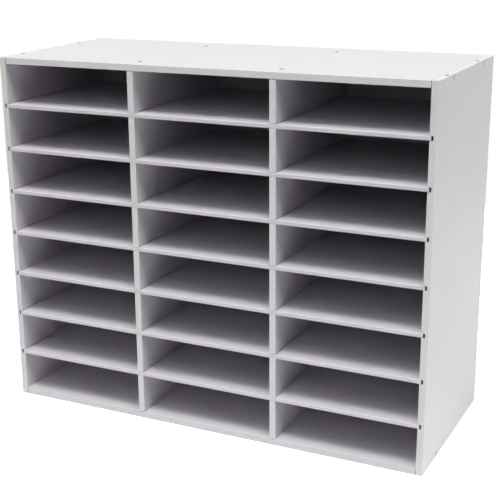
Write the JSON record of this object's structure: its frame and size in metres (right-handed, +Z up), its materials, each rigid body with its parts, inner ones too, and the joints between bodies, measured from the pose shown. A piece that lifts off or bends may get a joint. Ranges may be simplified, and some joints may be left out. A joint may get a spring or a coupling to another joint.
{
  "type": "pigeonhole mail sorter",
  "caption": "Low white board cabinet with an open front, divided by uprights and removable full-width shelves into flat compartments for letter-size mail.",
  "frame": {"origin": "centre of the footprint, on the surface the sorter stands on", "axes": "+X to the right seen from the open front, -Y out of the open front, +Z up"},
  "size_m": [0.737, 0.305, 0.596],
  "materials": {
    "white_board": "fibreboard faced with smooth white melamine, satin",
    "shelf_board": "thin fibreboard faced with white melamine, satin, rounded front edge",
    "back_sheet": "thin hardboard, white front",
    "edge_band": "white plastic edge banding, fine satin",
    "screw": "zinc-plated countersunk connecting screw with a cross recess"
  },
  "bodies": {
    "cabinet": {"back_panel": "back_sheet", "bottom_panel": "white_board", "bottom_panel_band": "edge_band", "bottom_screws": "screw", "divider_1": "white_board", "divider_1_band": "edge_band", "divider_2": "white_board", "divider_2_band": "edge_band", "left_side_front_band": "edge_band", "left_side_panel": "white_board", "left_side_screws": "screw", "left_side_top_band": "edge_band", "right_side_front_band": "edge_band", "right_side_panel": "white_board", "right_side_screws": "screw", "right_side_top_band": "edge_band", "top_panel": "white_board", "top_panel_band": "edge_band", "top_screws": "screw"},
    "shelf_board_1": {"shelf_1": "shelf_board"},
    "shelf_board_2": {"shelf_2": "shelf_board"},
    "shelf_board_3": {"shelf_3": "shelf_board"},
    "shelf_board_4": {"shelf_4": "shelf_board"},
    "shelf_board_5": {"shelf_5": "shelf_board"},
    "shelf_board_6": {"shelf_6": "shelf_board"},
    "shelf_board_7": {"shelf_7": "shelf_board"}
  },
  "joints": [
    {"name": "shelf_1_slide", "type": "slide", "parent": "cabinet", "child": "shelf_board_1", "axis": [0, -1, 0], "range_m": [0, 0.3]},
    {"name": "shelf_2_slide", "type": "slide", "parent": "cabinet", "child": "shelf_board_2", "axis": [0, -1, 0], "range_m": [0, 0.3]},
    {"name": "shelf_3_slide", "type": "slide", "parent": "cabinet", "child": "shelf_board_3", "axis": [0, -1, 0], "range_m": [0, 0.3]},
    {"name": "shelf_4_slide", "type": "slide", "parent": "cabinet", "child": "shelf_board_4", "axis": [0, -1, 0], "range_m": [0, 0.3]},
    {"name": "shelf_5_slide", "type": "slide", "parent": "cabinet", "child": "shelf_board_5", "axis": [0, -1, 0], "range_m": [0, 0.3]},
    {"name": "shelf_6_slide", "type": "slide", "parent": "cabinet", "child": "shelf_board_6", "axis": [0, -1, 0], "range_m": [0, 0.3]},
    {"name": "shelf_7_slide", "type": "slide", "parent": "cabinet", "child": "shelf_board_7", "axis": [0, -1, 0], "range_m": [0, 0.3]}
  ]
}
